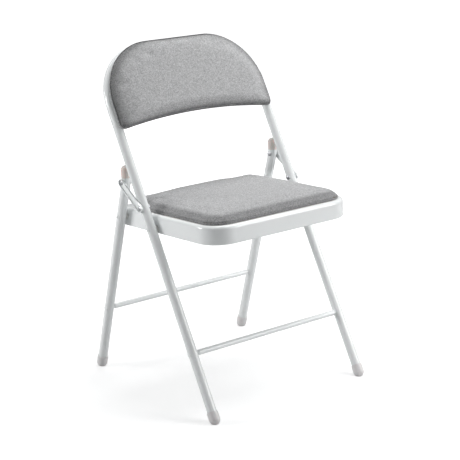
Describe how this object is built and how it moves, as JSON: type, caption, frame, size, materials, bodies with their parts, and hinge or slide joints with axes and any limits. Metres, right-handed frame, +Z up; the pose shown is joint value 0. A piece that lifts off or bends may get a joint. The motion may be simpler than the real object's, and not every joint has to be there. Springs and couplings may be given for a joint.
{
  "type": "folding chair",
  "caption": "Padded steel folding chair: bent tube back frame, hinged rear legs, pressed seat pan with cushion and D-shaped backrest pad, folding flat on side links.",
  "frame": {"origin": "middle of the footprint, on the floor", "axes": "+Z up, the chair's front faces -Y, its left is -X"},
  "size_m": [0.4718, 0.4682, 0.7862],
  "materials": {
    "paint": "gloss powder coat",
    "rivet": "zinc plated",
    "screw": "zinc plated",
    "foot_cap": "satin moulded",
    "plug": "translucent, satin",
    "spacer": "satin moulded",
    "plywood": "raw",
    "wrapped_board": "wrapped in the cover fabric",
    "upholstery": "woven, heather"
  },
  "bodies": {
    "back_frame": {"back_frame_tube": "paint", "front_crossbar": "paint", "front_foot_cap_left": "foot_cap", "front_foot_cap_right": "foot_cap", "seat_pivot_rivets": "paint", "seat_pivot_spacers": "spacer", "link_pivot_rivets": "rivet", "backrest_tabs": "paint", "backrest_screws": "screw", "backrest_board": "wrapped_board", "backrest_cushion": "upholstery"},
    "seat": {"seat_pan": "paint", "seat_board": "plywood", "seat_cushion": "upholstery", "seat_screws": "screw"},
    "rear_legs": {"rear_leg_left": "paint", "rear_leg_right": "paint", "rear_crossbar": "paint", "rear_foot_cap_left": "foot_cap", "rear_foot_cap_right": "foot_cap", "leg_plug_left": "plug", "leg_plug_right": "plug", "leg_pivot_rivets": "paint", "leg_pivot_spacers": "spacer", "leg_top_rivets": "rivet"},
    "links": {"link_left": "paint", "link_right": "paint", "link_top_rivets": "rivet"}
  },
  "joints": [
    {"name": "seat_fold", "type": "hinge", "parent": "back_frame", "child": "seat", "pos_m": [0, 0.00334, 0.395], "axis": [-1, 0, 0], "range_deg": [0, 110.27]},
    {"name": "leg_fold", "type": "hinge", "parent": "seat", "child": "rear_legs", "pos_m": [0, 0.1227, 0.4], "axis": [1, 0, 0], "range_deg": [0, 65.94]},
    {"name": "link_swing", "type": "hinge", "parent": "back_frame", "child": "links", "pos_m": [0, 0.03016, 0.44107], "axis": [-1, 0, 0], "range_deg": [0, 135.62]}
  ],
  "couplings": [
    {"joint": "leg_fold", "follows": "seat_fold", "ratio": 0.59794},
    {"joint": "link_swing", "follows": "seat_fold", "ratio": 1.2298}
  ]
}
